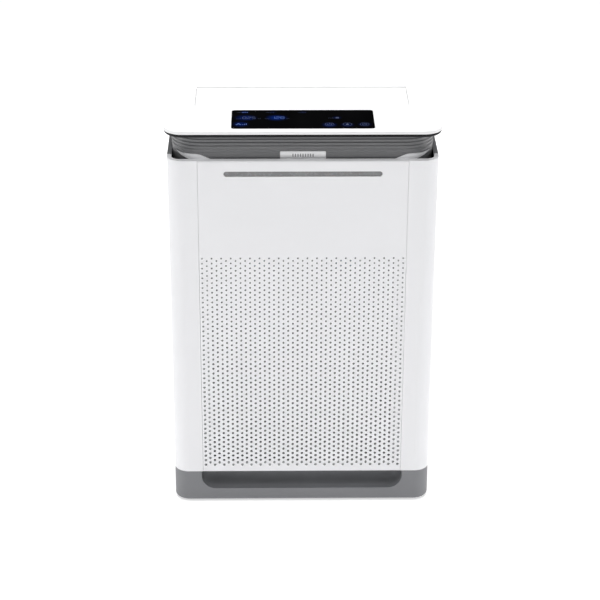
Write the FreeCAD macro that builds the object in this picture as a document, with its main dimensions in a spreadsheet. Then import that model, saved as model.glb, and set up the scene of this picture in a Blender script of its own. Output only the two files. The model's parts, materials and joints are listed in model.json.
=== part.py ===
import FreeCAD, Part
import math
import os
import re

import Sketcher

# Floor-standing air purifier, millimetres. +Z is up, the front faces -Y, and the origin is on the
# floor under the middle of the outer box. Air goes in through the perforated front panel, through
# three filters and the fan, and out of the flap in the lid.

SIZES = {
    "body_width": 391.0,
    "body_depth": 206.0,
    "body_corner": 22.5,
    "wall": 2.6,
    "foot_height": 3.0,
    "foot_radius": 10.0,
    "foot_span_x": 330.0,
    "foot_span_y": 156.0,
    "base_height": 51.0,
    "base_floor": 3.0,
    "base_edge_radius": 5.0,
    "recess_width": 308.0,
    "recess_floor": 20.6,
    "recess_corner": 22.0,
    "recess_depth": 28.0,
    "recess_scoop": 20.0,
    "shell_height": 509.0,
    "seam": 0.3,
    "rim_thickness": 3.0,
    "rim_depth": 9.5,
    "rim_inner_corner": 12.0,
    "return_depth": 6.5,
    "strip_width": 6.6,
    "strip_length": 146.0,
    "strip_thickness": 2.0,
    "panel_width": 302.6,
    "panel_thickness": 3.0,
    "panel_edge_radius": 2.4,
    "grille_thickness": 1.6,
    "top_hole_diameter": 2.5,
    "bottom_hole_diameter": 3.9,
    "hole_pitch_x": 7.0,
    "hole_pitch_z": 7.855,
    "hole_columns": 43,
    "hole_rows": 45,
    "hole_centre_z": 238.5,
    "slot_length": 228.0,
    "slot_height": 8.0,
    "slot_z": 543.0,
    "collar_width": 376.0,
    "collar_depth": 182.0,
    "collar_corner": 42.0,
    "collar_bottom": 548.0,
    "collar_top": 597.0,
    "collar_wall": 2.5,
    "rib_count": 5,
    "rib_pitch": 5.1,
    "rib_height": 2.4,
    "rib_reach": 1.3,
    "first_rib_z": 574.0,
    "seal_bottom": 549.0,
    "seal_height": 4.0,
    "badge_length": 66.0,
    "badge_height": 12.2,
    "badge_bottom": 561.6,
    "badge_thickness": 1.2,
    "tray_width": 398.0,
    "tray_depth": 214.5,
    "tray_corner": 27.2,
    "tray_flange": 5.5,
    "tray_edge": 5.0,
    "tray_blend": 1.2,
    "lid_width": 399.5,
    "lid_depth": 216.0,
    "lid_corner": 28.0,
    "lid_bottom": 604.5,
    "lid_thickness": 5.0,
    "lid_skin": 3.0,
    "lid_edge_radius": 1.2,
    "glass_width": 205.0,
    "glass_depth": 79.0,
    "glass_corner": 5.0,
    "glass_thickness": 1.6,
    "glass_centre_y": -56.5,
    "flap_width": 313.6,
    "flap_front_y": 3.0,
    "flap_skin": 3.0,
    "flap_pivot_y": 81.5,
    "flap_pivot_z": 604.0,
    "flap_gap": 0.6,
    "pin_radius": 1.5,
    "pin_clearance": 0.06,
    "chassis_width": 297.6,
    "chassis_height": 370.0,
    "chassis_bottom": 54.6,
    "chassis_front": 97.0,
    "chassis_back": 27.0,
    "chassis_wall": 2.4,
    "filter_width": 291.6,
    "filter_height": 362.0,
    "filter_bottom": 58.8,
    "prefilter_front": 96.0,
    "prefilter_depth": 7.0,
    "hepa_front": 87.0,
    "hepa_depth": 40.0,
    "carbon_front": 45.0,
    "carbon_depth": 12.0,
    "pleat_pitch": 8.0,
    "fan_z": 238.5,
    "fan_radius": 108.0,
    "inlet_radius": 88.0,
    "blade_count": 40,
    "shaft_radius": 4.0,
    "motor_radius": 42.0,
    "bearing_radius": 11.0,
    "volute_front_y": -24.0,
    "volute_back_y": 62.0,
    "volute_wall": 2.0,
    "cover_screw_x": 142.0,
    "tab_thickness": 8.0,
    "boss_x": 178.0,
    "boss_radius": 6.0,
    "foot_tab_thickness": 4.0,
    "screw_radius": 1.7,
    "screw_head_radius": 3.4,
}

COVER_SCREW_HEIGHTS = (80, 310, 535)
BOSS_Y = (-60, 60)
MAGNETS = [(x, z) for x in (-132, 132) for z in (452, 524)]
MOTOR_SCREWS = [(37, 37), (-37, 37), (-37, -37), (37, -37)]

doc = FreeCAD.newDocument("AirPurifier")
sub_parts = []


def fill_sheet():
    sheet = doc.addObject("Spreadsheet::Sheet", "Sizes")
    for row, (alias, number) in enumerate(SIZES.items(), start=1):
        sheet.set(f"A{row}", alias)
        sheet.set(f"B{row}", str(number))
        sheet.setAlias(f"B{row}", alias)
    doc.recompute()
    return sheet


sizes = fill_sheet()


def size(alias):
    return float(sizes.get(alias))


# ---- helpers -------------------------------------------------------------------------------


def bind(item, prop, formula):
    """Binds a property to a formula whose words are aliases of the sheet."""
    words = re.sub(r"[a-z][a-z_]+", lambda word: "Sizes." + word.group(), str(formula))
    item.setExpression(prop, words)


def keep(item, name):
    """Makes an object a sub-part: its label is the name of its node."""
    item.Label = name
    sub_parts.append(item)
    return item


def feature(name, shape):
    item = doc.addObject("Part::Feature", name)
    item.Shape = shape
    item.Placement = shape.Placement
    return item


def box(name, corner, lengths):
    item = doc.addObject("Part::Box", name)
    for prop, formula in zip(("Length", "Width", "Height"), lengths):
        bind(item, prop, formula)
    for axis, formula in zip("xyz", corner):
        bind(item, f"Placement.Base.{axis}", formula)
    return item


TURNS = {
    "x": FreeCAD.Rotation(FreeCAD.Vector(0, 1, 0), 90),
    "y": FreeCAD.Rotation(FreeCAD.Vector(1, 0, 0), -90),
    "z": FreeCAD.Rotation(),
}


def cylinder(name, radius, length, start, axis="z"):
    """A cylinder that runs from start along +X, +Y or +Z."""
    item = doc.addObject("Part::Cylinder", name)
    item.Placement.Rotation = TURNS[axis]
    bind(item, "Radius", radius)
    bind(item, "Height", length)
    for letter, formula in zip("xyz", start):
        bind(item, f"Placement.Base.{letter}", formula)
    return item


def fuse(name, pieces):
    item = doc.addObject("Part::MultiFuse", name)
    item.Shapes = pieces
    item.Refine = True
    return item


def cut(name, base, tools):
    item = doc.addObject("Part::Cut", name)
    item.Base = base
    item.Tool = tools[0] if len(tools) == 1 else fuse(name + "_tools", tools)
    item.Refine = True
    return item


def group(name, pieces):
    item = doc.addObject("Part::Compound", name)
    item.Links = pieces
    return item


def new_body(name):
    return doc.addObject("PartDesign::Body", name)


def sketch_on(body, name, plane, offset):
    """A sketch on one of the body's own origin planes, moved by an (x, y, level) offset."""
    origin_plane = next(f for f in body.Origin.OriginFeatures if f.Role == plane)
    sketch = body.newObject("Sketcher::SketchObject", name)
    sketch.AttachmentSupport = [(origin_plane, "")]
    sketch.MapMode = "FlatFace"
    for axis, formula in zip("xyz", offset):
        bind(sketch, f"AttachmentOffset.Base.{axis}", formula)
    return sketch


def set_length(sketch, index, name, formula):
    sketch.renameConstraint(index, name)
    bind(sketch, f"Constraints.{name}", formula)


def rounded_rectangle(sketch, across, along, corner):
    """A centred rectangle with round corners, sized by three formulas."""
    wide, high, bend = 40.0, 30.0, 5.0
    flat = FreeCAD.Vector(0, 0, 1)
    corners = [(1, 1), (-1, 1), (-1, -1), (1, -1)]
    for turn, (right, up) in enumerate(corners):
        centre = FreeCAD.Vector(right * (wide - bend), up * (high - bend), 0)
        circle = Part.Circle(centre, flat, bend)
        start = turn * math.pi / 2
        sketch.addGeometry(Part.ArcOfCircle(circle, start, start + math.pi / 2), False)
    for turn in range(4):
        first = sketch.getPoint(turn, 2)
        second = sketch.getPoint((turn + 1) % 4, 1)
        sketch.addGeometry(Part.LineSegment(first, second), False)
    rules = []
    for turn in range(4):
        line = 4 + turn
        rules.append(Sketcher.Constraint("Tangent", turn, 2, line, 1))
        rules.append(Sketcher.Constraint("Tangent", line, 2, (turn + 1) % 4, 1))
        rules.append(Sketcher.Constraint("Horizontal" if turn % 2 == 0 else "Vertical", line))
    for turn in range(1, 4):
        rules.append(Sketcher.Constraint("Equal", 0, turn))
    rules.append(Sketcher.Constraint("Symmetric", 0, 3, 2, 3, -1, 1))
    sketch.addConstraint(rules)
    set_length(sketch, sketch.addConstraint(Sketcher.Constraint("Radius", 0, bend)), "bend", corner)
    width = Sketcher.Constraint("DistanceX", 5, 1, 7, 1, 2 * wide)
    set_length(sketch, sketch.addConstraint(width), "across", across)
    height = Sketcher.Constraint("DistanceY", 6, 1, 4, 1, 2 * high)
    set_length(sketch, sketch.addConstraint(height), "along", along)


def rectangle(sketch, across, along):
    """A centred rectangle, sized by two formulas."""
    points = [FreeCAD.Vector(x, y, 0) for x, y in ((-20, -15), (20, -15), (20, 15), (-20, 15))]
    for side in range(4):
        sketch.addGeometry(Part.LineSegment(points[side], points[(side + 1) % 4]), False)
    rules = []
    for side in range(4):
        rules.append(Sketcher.Constraint("Coincident", side, 2, (side + 1) % 4, 1))
        rules.append(Sketcher.Constraint("Horizontal" if side % 2 == 0 else "Vertical", side))
    rules.append(Sketcher.Constraint("Symmetric", 0, 1, 2, 1, -1, 1))
    sketch.addConstraint(rules)
    width = Sketcher.Constraint("DistanceX", 0, 1, 0, 2, 40)
    set_length(sketch, sketch.addConstraint(width), "across", across)
    height = Sketcher.Constraint("DistanceY", 1, 1, 1, 2, 30)
    set_length(sketch, sketch.addConstraint(height), "along", along)


def circle(sketch, radius):
    sketch.addGeometry(Part.Circle(FreeCAD.Vector(), FreeCAD.Vector(0, 0, 1), 10), False)
    sketch.addConstraint(Sketcher.Constraint("Coincident", 0, 3, -1, 1))
    set_length(sketch, sketch.addConstraint(Sketcher.Constraint("Radius", 0, 10)), "radius", radius)


def pad(body, sketch, length, reverse=False):
    item = body.newObject("PartDesign::Pad", sketch.Name + "_pad")
    item.Profile = sketch
    item.Reversed = reverse
    bind(item, "Length", length)
    sketch.Visibility = False
    return item


def pocket(body, sketch, length, reverse=False):
    before = body.Tip
    item = body.newObject("PartDesign::Pocket", sketch.Name + "_pocket")
    item.Profile = sketch
    item.Reversed = reverse
    bind(item, "Length", length)
    doc.recompute()
    if item.Shape.Volume > before.Shape.Volume - 0.5:
        raise ValueError(f"{item.Name} cuts nothing")
    return item


def fillet_edges(body, radius, chosen):
    """Rounds the edges of the body's tip that chosen(edge) accepts."""
    base = body.Tip
    doc.recompute()
    names = [f"Edge{i}" for i, edge in enumerate(base.Shape.Edges, start=1) if chosen(edge)]
    item = body.newObject("PartDesign::Fillet", base.Name + "_fillet")
    item.Base = (base, names)
    bind(item, "Radius", radius)
    doc.recompute()
    return item


def at_level(level):
    """A test for edges that lie flat at one height."""
    return lambda edge: abs(edge.BoundBox.ZMin - level) < 0.01 and edge.BoundBox.ZLength < 0.01


def within(edge, reach_x, reach_y):
    bounds = edge.BoundBox
    return max(-bounds.XMin, bounds.XMax) < reach_x and max(-bounds.YMin, bounds.YMax) < reach_y


def slab(body, name, across, along, corner, bottom, height, shift=("0", "0")):
    sketch = sketch_on(body, name, "XY_Plane", (shift[0], shift[1], bottom))
    rounded_rectangle(sketch, across, along, corner)
    return pad(body, sketch, height)


def well(body, name, across, along, corner, top, depth, shift=("0", "0")):
    sketch = sketch_on(body, name, "XY_Plane", (shift[0], shift[1], top))
    rounded_rectangle(sketch, across, along, corner)
    return pocket(body, sketch, depth)


# ---- base ----------------------------------------------------------------------------------


def flat_in_y(edge, y):
    """Whether the whole edge lies in the plane at this y."""
    box = edge.BoundBox
    return abs(box.YMin - y) < 0.01 and abs(box.YMax - y) < 0.01


def inside_recess(edge):
    """Whether the edge lies inside the finger recess's outline, below the tray's top."""
    box = edge.BoundBox
    top = size("foot_height") + size("base_height")
    reach = size("recess_width") / 2 + 0.01
    return box.ZMin < top - 0.01 and box.XMin > -reach and box.XMax < reach


def make_base_tray():
    body = new_body("base_tray")
    slab(body, "base_outline", "body_width", "body_depth", "body_corner", "foot_height", "base_height")
    fillet_edges(body, "base_edge_radius", at_level(size("foot_height")))
    top = "foot_height + base_height"
    well(body, "base_cavity", "body_width - 2 * wall", "body_depth - 2 * wall",
         "body_corner - wall", top, "base_height - base_floor")
    block = sketch_on(body, "recess_block", "XY_Plane",
                      ("0", "(recess_depth + wall - body_depth) / 2 + 1", top))
    rectangle(block, "recess_width + 2 * wall", "recess_depth + wall - 2")
    pad(body, block, "base_height - recess_floor + wall", reverse=True)
    mouth = sketch_on(body, "recess_mouth", "XZ_Plane",
                      ("0", "foot_height + recess_floor + base_height / 2", "body_depth / 2"))
    rounded_rectangle(mouth, "recess_width", "base_height", "recess_corner")
    pocket(body, mouth, "recess_depth")
    back = size("recess_depth") - size("body_depth") / 2
    fillet_edges(body, "recess_scoop", lambda edge: flat_in_y(edge, back) and inside_recess(edge))
    for side in (-1, 1):
        for y in BOSS_Y:
            boss = sketch_on(body, "boss", "XY_Plane", (f"{side} * boss_x", y, top))
            circle(boss, "boss_radius")
            pad(body, boss, "base_height - base_floor", reverse=True)
            bore = sketch_on(body, "boss_bore", "XY_Plane", (f"{side} * boss_x", y, top))
            circle(bore, "screw_radius + 0.1")
            pocket(body, bore, "20")
    inlet = sketch_on(body, "inlet_window", "XZ_Plane", ("120", "28", "-body_depth / 2"))
    rounded_rectangle(inlet, "24.4", "17.4", "0.1")
    pocket(body, inlet, "wall + 1", reverse=True)
    keep(body, "base_tray")


def make_feet():
    feet = []
    for side in (-1, 1):
        for end in (-1, 1):
            foot = doc.addObject("Part::Cone", "foot")
            bind(foot, "Radius1", "foot_radius - 1")
            bind(foot, "Radius2", "foot_radius")
            bind(foot, "Height", "foot_height")
            bind(foot, "Placement.Base.x", f"{side} * foot_span_x / 2")
            bind(foot, "Placement.Base.y", f"{end} * foot_span_y / 2")
            feet.append(foot)
    keep(group("rubber_feet", feet), "rubber_feet")


def make_power_inlet():
    shell = box("inlet_shell", ("108", "body_depth / 2 - 16", "19.5"), ("24", "15.5", "17"))
    hollow = box("inlet_hollow", ("111", "body_depth / 2 - 11", "22.5"), ("18", "12", "11"))
    inlet = cut("inlet_socket", shell, [hollow])
    prongs = [
        cylinder("inlet_prong", "1.2", "8", (x, "body_depth / 2 - 12", "28"), "y")
        for x in ("115.7", "124.3")
    ]
    keep(fuse("power_inlet", [inlet] + prongs), "power_inlet")


def make_power_board():
    board = box("supply_board", ("-60", "15", "14"), ("120", "70", "1.6"))
    transformer = box("supply_transformer", ("-20", "36", "15"), ("26", "24", "22.6"))
    heat_sink = box("supply_heat_sink", ("24", "26", "15"), ("5", "44", "27.6"))
    relay = box("supply_relay", ("-52", "60", "15"), ("16", "13", "14.6"))
    tanks = [
        cylinder("supply_capacitor", "6.5", "24.6", (x, "32", "15"))
        for x in ("-48", "-32")
    ]
    standoffs = [
        cylinder("supply_standoff", "3", "8", (x, y, "foot_height + base_floor"))
        for x in ("-54", "54") for y in ("21", "79")
    ]
    pieces = [board, transformer, heat_sink, relay] + tanks + standoffs
    keep(fuse("power_board", pieces), "power_board")


# ---- outer shells --------------------------------------------------------------------------


def make_side_shells():
    body = new_body("right_side_shell")
    bottom = "foot_height + base_height"
    top = bottom + " + shell_height"
    slab(body, "shell_outline", "body_width", "body_depth", "body_corner", bottom, "shell_height")
    inside = sketch_on(body, "shell_inside", "XY_Plane", ("0", "0", bottom))
    rounded_rectangle(inside, "body_width - 2 * wall", "body_depth - 2 * wall", "body_corner - wall")
    pocket(body, inside, "shell_height - rim_thickness", reverse=True)
    well(body, "rim_opening", "body_width - 2 * strip_width", "body_depth - 2 * rim_depth",
         "rim_inner_corner", top, "rim_thickness")
    spare = sketch_on(body, "spare_half", "XY_Plane",
                      ("panel_width / 2 + seam - body_width / 2", "0", top))
    rectangle(spare, "body_width", "body_depth + 20")
    pocket(body, spare, "shell_height")
    for end in (-1, 1):
        edge = sketch_on(
            body, "front_return" if end < 0 else "rear_return", "XY_Plane",
            ("(panel_width + wall) / 2 + seam", f"{end} * (body_depth - wall - return_depth) / 2",
             bottom),
        )
        rectangle(edge, "wall", "return_depth")
        pad(body, edge, "shell_height")
    ledge = sketch_on(body, "strip_ledge", "XY_Plane", ("body_width / 2", "0", top))
    rectangle(ledge, "4 * strip_width", "strip_length")
    pocket(body, ledge, "strip_thickness")
    add_cover_tabs(body)
    add_foot_tabs(body, bottom)
    keep(body, "right_side_shell")
    mirror = doc.addObject("Part::Mirroring", "left_side_shell")
    mirror.Source = body
    mirror.Normal = FreeCAD.Vector(1, 0, 0)
    keep(mirror, "left_side_shell")


def add_cover_tabs(body):
    """Tabs behind the rear seam that take the rear cover's screws."""
    for index, z in enumerate(COVER_SCREW_HEIGHTS):
        tab = sketch_on(body, f"cover_tab_{index}", "XZ_Plane",
                        ("cover_screw_x + 4", z, "wall - body_depth / 2"))
        rectangle(tab, "2 * (panel_width / 2 + seam + wall - cover_screw_x - 4)", "16")
        pad(body, tab, "tab_thickness")
        hole = sketch_on(body, f"tab_hole_{index}", "XZ_Plane",
                         ("cover_screw_x", z, "wall + tab_thickness - body_depth / 2"))
        circle(hole, "screw_radius + 0.1")
        pocket(body, hole, "tab_thickness")


def add_foot_tabs(body, bottom):
    """Tabs at the foot of the side wall, screwed to bosses in the base tray."""
    for index, y in enumerate(BOSS_Y):
        tab = sketch_on(body, f"foot_tab_{index}", "XY_Plane", ("boss_x", y, bottom))
        rectangle(tab, "body_width - 2 * wall - 2 * boss_x + 0.4", "20")
        pad(body, tab, "foot_tab_thickness")
        hole = sketch_on(body, f"foot_hole_{index}", "XY_Plane",
                         ("boss_x", y, bottom + " + foot_tab_thickness"))
        circle(hole, "screw_radius + 0.1")
        pocket(body, hole, "foot_tab_thickness")


def make_rim_strips():
    level = "foot_height + base_height + shell_height - strip_thickness"
    for name, start in (("left_rim_strip", "-body_width / 2"),
                        ("right_rim_strip", "body_width / 2 - strip_width")):
        strip = box(name, (start, "0.2 - strip_length / 2", level),
                    ("strip_width", "strip_length - 0.4", "strip_thickness"))
        keep(strip, name)




def make_rear_cover():
    body = new_body("rear_cover")
    middle = "foot_height + base_height + shell_height / 2"
    plate = sketch_on(body, "cover_plate", "XZ_Plane", ("0", middle, "-body_depth / 2"))
    rounded_rectangle(plate, "panel_width", "shell_height - 2 * seam", "1")
    pad(body, plate, "wall")
    lip = sketch_on(body, "cover_lip", "XZ_Plane",
                    ("0", "foot_height + base_height + shell_height - seam - rim_thickness / 2",
                     "wall - body_depth / 2"))
    rectangle(lip, "panel_width", "rim_thickness")
    pad(body, lip, "rim_depth - wall")
    cup = sketch_on(body, "grip_cup", "XZ_Plane", ("0", "500", "wall - body_depth / 2"))
    rounded_rectangle(cup, "126", "44", "12")
    pad(body, cup, "19")
    grip = sketch_on(body, "grip_hollow", "XZ_Plane", ("0", "500", "-body_depth / 2"))
    rounded_rectangle(grip, "120", "38", "9")
    pocket(body, grip, "wall + 16", reverse=True)
    for index, z in enumerate(COVER_SCREW_HEIGHTS):
        for side in (-1, 1):
            hole = sketch_on(body, f"cover_hole_{index}", "XZ_Plane",
                             (f"{side} * cover_screw_x", z, "-body_depth / 2"))
            circle(hole, "screw_radius + 0.1")
            pocket(body, hole, "wall", reverse=True)
    for index in range(6):
        vent = sketch_on(body, f"sensor_vent_{index}", "XZ_Plane",
                         (f"-100 + 5 * {index}", "420", "-body_depth / 2"))
        rounded_rectangle(vent, "2.2", "24", "1")
        pocket(body, vent, "wall", reverse=True)
    keep(body, "rear_cover")


def screw(name, x, y, z, length):
    """A pan head screw that goes in along -Y, its head bearing on the plane y."""
    head = cylinder(name + "_head", "screw_head_radius", "1.8", (x, y, z), "y")
    shank = cylinder(name + "_shank", "screw_radius", length + 0.5, (x, y - length, z), "y")
    return fuse(name, [head, shank])


def make_rear_screws():
    outer_face = size("body_depth") / 2
    side = size("cover_screw_x")
    screws = [
        screw("cover_screw", x, outer_face, z, 9)
        for x in (-side, side) for z in COVER_SCREW_HEIGHTS
    ]
    keep(group("rear_cover_screws", screws), "rear_cover_screws")


def make_shell_screws():
    seat = "foot_height + base_height + foot_tab_thickness"
    screws = []
    for side in (-1, 1):
        for y in BOSS_Y:
            x = f"{side} * boss_x"
            head = cylinder("shell_screw_head", "screw_head_radius", "1.8", (x, y, seat))
            shank = cylinder("shell_screw_shank", "screw_radius", "12.5", (x, y, seat + " - 12"))
            screws.append(fuse("shell_screw", [head, shank]))
    keep(group("shell_screws", screws), "shell_screws")


def make_sensor():
    case = box("sensor_case", ("-110", "body_depth / 2 - wall - 18", "398"), ("45", "18", "46"))
    throat = box("sensor_throat", ("-103", "body_depth / 2 - wall - 8", "408"), ("31", "9", "26"))
    keep(cut("air_quality_sensor", case, [throat]), "air_quality_sensor")


# ---- front panel ---------------------------------------------------------------------------


def upright_rectangle(left, right, low, high, y):
    corners = ((left, low), (right, low), (right, high), (left, high), (left, low))
    return Part.makePolygon([FreeCAD.Vector(x, y, z) for x, z in corners])


def perforated_plate(half, bottom, top, front, thick):
    """The panel's lower plate, built as one strip for each column of holes.

    Every second column sits half a pitch lower and has one hole less.
    The holes grow evenly from the top row to the bottom row.
    """
    columns = int(size("hole_columns"))
    pitch_x = size("hole_pitch_x")
    pitch_z = size("hole_pitch_z")
    centre = size("hole_centre_z")
    field_height = (int(size("hole_rows")) - 1) * pitch_z
    smallest = size("top_hole_diameter") / 2
    largest = size("bottom_hole_diameter") / 2
    strips = []
    for column in range(columns):
        count = int(size("hole_rows")) - column % 2
        x = (column - (columns - 1) / 2) * pitch_x
        left = -half if column == 0 else x - pitch_x / 2
        right = half if column == columns - 1 else x + pitch_x / 2
        wires = [upright_rectangle(left, right, bottom, top, front)]
        for row in range(count):
            z = centre + (row - (count - 1) / 2) * pitch_z
            radius = (largest + smallest) / 2 - (largest - smallest) * (z - centre) / field_height
            ring = Part.makeCircle(radius, FreeCAD.Vector(x, front, z), FreeCAD.Vector(0, 1, 0))
            wires.append(Part.Wire(ring))
        strips.append(Part.Face(wires).extrude(FreeCAD.Vector(0, thick, 0)))
    return strips[0].multiFuse(strips[1:])


def slot_shape(length, height, z, y, depth):
    """A bar with round ends that runs along X, as a solid from y to y + depth."""
    half = (length - height) / 2
    core = Part.makeBox(2 * half, depth, height, FreeCAD.Vector(-half, y, z - height / 2))
    ends = [
        Part.makeCylinder(height / 2, depth, FreeCAD.Vector(x, y, z), FreeCAD.Vector(0, 1, 0))
        for x in (-half, half)
    ]
    return core.multiFuse(ends).removeSplitter()


def make_front_panel():
    half = size("panel_width") / 2
    front = -size("body_depth") / 2
    thick = size("panel_thickness")
    bottom = size("foot_height") + size("base_height") + size("seam")
    top = size("foot_height") + size("base_height") + size("shell_height")
    thin = size("grille_thickness")
    split = size("hole_centre_z") + size("hole_rows") / 2 * size("hole_pitch_z") + 10
    grille = perforated_plate(half, bottom, split, front, thin)
    rim = size("rim_depth")
    head = Part.makeBox(2 * half, rim, top - split, FreeCAD.Vector(-half, front, split))
    top_front = [
        edge for edge in head.Edges
        if abs(edge.BoundBox.ZMin - top) < 0.01 and edge.BoundBox.YMax < front + 0.01
    ]
    head = head.makeFillet(size("panel_edge_radius"), top_front)
    hollow_top = top - size("rim_thickness")
    hollow = Part.makeBox(2 * half, rim, hollow_top - split, FreeCAD.Vector(-half, front + thick, split))
    head = head.cut(hollow)
    head = head.cut(slot_shape(size("slot_length"), size("slot_height"), size("slot_z"), front - 1, 10))
    returns = [
        Part.makeBox(2.0, size("return_depth") + thick - thin, hollow_top - bottom,
                     FreeCAD.Vector(x, front + thin, bottom))
        for x in (-half, half - 2.0)
    ]
    sill = Part.makeBox(2 * half, thick - thin, 6.0, FreeCAD.Vector(-half, front + thin, bottom))
    panel = grille.multiFuse([head, sill] + returns)
    keep(feature("front_panel", panel), "front_panel")


def make_magnets():
    back = size("panel_thickness") - size("body_depth") / 2
    magnets = [cylinder("panel_magnet", "5", "1.8", (x, back, z), "y") for x, z in MAGNETS]
    keep(group("panel_magnets", magnets), "panel_magnets")
    keepers = [cylinder("magnet_keeper", "5", "1.8", (x, back + 2.2, z), "y") for x, z in MAGNETS]
    keep(group("magnet_keepers", keepers), "magnet_keepers")


def make_upper_bulkhead():
    low = size("chassis_bottom") + size("chassis_height")
    high = 559.6
    front = size("panel_thickness") - size("body_depth") / 2 + 4.0
    thick = 2.2
    plate = Part.makeBox(290, thick, high - low, FreeCAD.Vector(-145, front, low))
    window = slot_shape(size("slot_length") - 0.4, size("slot_height") - 0.4, size("slot_z"), front - 1, 6)
    ribs = [
        Part.makeBox(2, 30, 544 - low, FreeCAD.Vector(x, front + thick, low)) for x in (-120, 118)
    ]
    keep(feature("upper_bulkhead", plate.cut(window).multiFuse(ribs)), "upper_bulkhead")


def make_light_bar():
    front = -size("body_depth") / 2
    length = size("slot_length") - 0.8
    height = size("slot_height") - 0.8
    bar = slot_shape(length, height, size("slot_z"), front + 1.6, 9.4)
    keep(feature("status_light_bar", bar), "status_light_bar")
    board = box("light_bar_board", ("-116", "11 - body_depth / 2", "slot_z - 4.6"), ("232", "1", "9.2"))
    keep(board, "light_bar_board")


# ---- filters -------------------------------------------------------------------------------


def make_filter_chassis():
    body = new_body("filter_chassis")
    middle = "chassis_bottom + chassis_height / 2"
    outline = sketch_on(body, "chassis_outline", "XZ_Plane", ("0", middle, "chassis_back"))
    rounded_rectangle(outline, "chassis_width", "chassis_height", "4")
    pad(body, outline, "chassis_front - chassis_back")
    bay = sketch_on(body, "filter_bay", "XZ_Plane", ("0", middle, "chassis_front"))
    rounded_rectangle(bay, "chassis_width - 2 * chassis_wall", "chassis_height - 2 * chassis_wall", "2")
    pocket(body, bay, "chassis_front - chassis_back - 3")
    inlet = sketch_on(body, "inlet_hole", "XZ_Plane", ("0", "fan_z", "chassis_back + 3"))
    circle(inlet, "inlet_radius")
    pocket(body, inlet, "3")
    for name, wide, high in (("guard_bar", "4", "2 * inlet_radius + 4"),
                             ("guard_beam", "2 * inlet_radius + 4", "4")):
        bar = sketch_on(body, name, "XZ_Plane", ("0", "fan_z", "chassis_back"))
        rectangle(bar, wide, high)
        pad(body, bar, "3")
    keep(body, "filter_chassis")


def filter_frame(name, front, depth, border):
    body = new_body(name)
    middle = "filter_bottom + filter_height / 2"
    outline = sketch_on(body, name + "_outline", "XZ_Plane", ("0", middle, f"{front} - {depth}"))
    rounded_rectangle(outline, "filter_width", "filter_height", "3")
    pad(body, outline, depth)
    window = sketch_on(body, name + "_window", "XZ_Plane", ("0", middle, front))
    rectangle(window, f"filter_width - 2 * {border}", f"filter_height - 2 * {border}")
    pocket(body, window, depth)
    return body


def filling(name, front, depth, border):
    """A plate that fills the window of a filter frame."""
    return box(
        name, (f"{border} - filter_width / 2", f"-({front})", f"filter_bottom + {border}"),
        (f"filter_width - 2 * {border}", depth, f"filter_height - 2 * {border}"),
    )


def make_prefilter():
    body = filter_frame("prefilter_frame", "prefilter_front", "prefilter_depth", "8")
    for index, z in enumerate((150, 240, 330)):
        rung = sketch_on(body, f"prefilter_rung_{index}", "XZ_Plane",
                         ("0", z, "prefilter_front - prefilter_depth"))
        rectangle(rung, "filter_width - 14", "3")
        pad(body, rung, "2")
    keep(body, "prefilter_frame")
    keep(filling("prefilter_mesh", "prefilter_front - 3", "1", "8"), "prefilter_mesh")


def make_hepa():
    keep(filter_frame("hepa_frame", "hepa_front", "hepa_depth", "6"), "hepa_frame")
    left = 6.2 - size("filter_width") / 2
    right = -left
    pitch = size("pleat_pitch")
    folds = int((right - left) // pitch)
    step = (right - left) / (2 * folds)
    lean = 4.0
    near = -size("hepa_front") + 3
    far = size("hepa_depth") - size("hepa_front") - 3 - lean
    front_line = [
        FreeCAD.Vector(left + step * turn, far if turn % 2 else near, 0)
        for turn in range(2 * folds + 1)
    ]
    back_line = [point + FreeCAD.Vector(0, lean, 0) for point in reversed(front_line)]
    outline = Part.makePolygon(front_line + back_line + front_line[:1])
    low = size("filter_bottom") + 6.2
    pleats = Part.Face(outline).extrude(FreeCAD.Vector(0, 0, size("filter_height") - 12.4))
    pleats.translate(FreeCAD.Vector(0, 0, low))
    keep(feature("hepa_pleats", pleats), "hepa_pleats")
    tabs = [
        box("hepa_tab", (x, "-hepa_front - 1", "filter_bottom + filter_height - 46"), ("24", "0.9", "42"))
        for x in ("-72", "48")
    ]
    keep(group("hepa_pull_tabs", tabs), "hepa_pull_tabs")


def make_carbon():
    keep(filter_frame("carbon_frame", "carbon_front", "carbon_depth", "6"), "carbon_frame")
    keep(filling("carbon_core", "carbon_front - 2", "carbon_depth - 4", "6"), "carbon_core")


# ---- fan -----------------------------------------------------------------------------------


def about_fan(radius, low, high):
    """A cylinder on the fan's axis, between two values of y."""
    start = FreeCAD.Vector(0, low, size("fan_z"))
    return Part.makeCylinder(radius, high - low, start, FreeCAD.Vector(0, 1, 0))


def make_inlet_ring():
    outer = size("inlet_radius") + 12
    inner = size("inlet_radius") - 6
    y = -size("chassis_back")
    profile = Part.makePolygon([FreeCAD.Vector(r, at, 0) for r, at in (
        (outer, y), (outer, y + 2.6), (inner + 6, y + 2.6), (inner + 1.6, y + 7),
        (inner + 1.6, y + 15), (inner, y + 15), (inner, y + 6), (inner + 4.4, y), (outer, y))])
    ring = Part.Face(profile).revolve(FreeCAD.Vector(), FreeCAD.Vector(0, 1, 0), 360)
    ring.translate(FreeCAD.Vector(0, 0, size("fan_z")))
    keep(feature("fan_inlet_ring", ring), "fan_inlet_ring")


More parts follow.
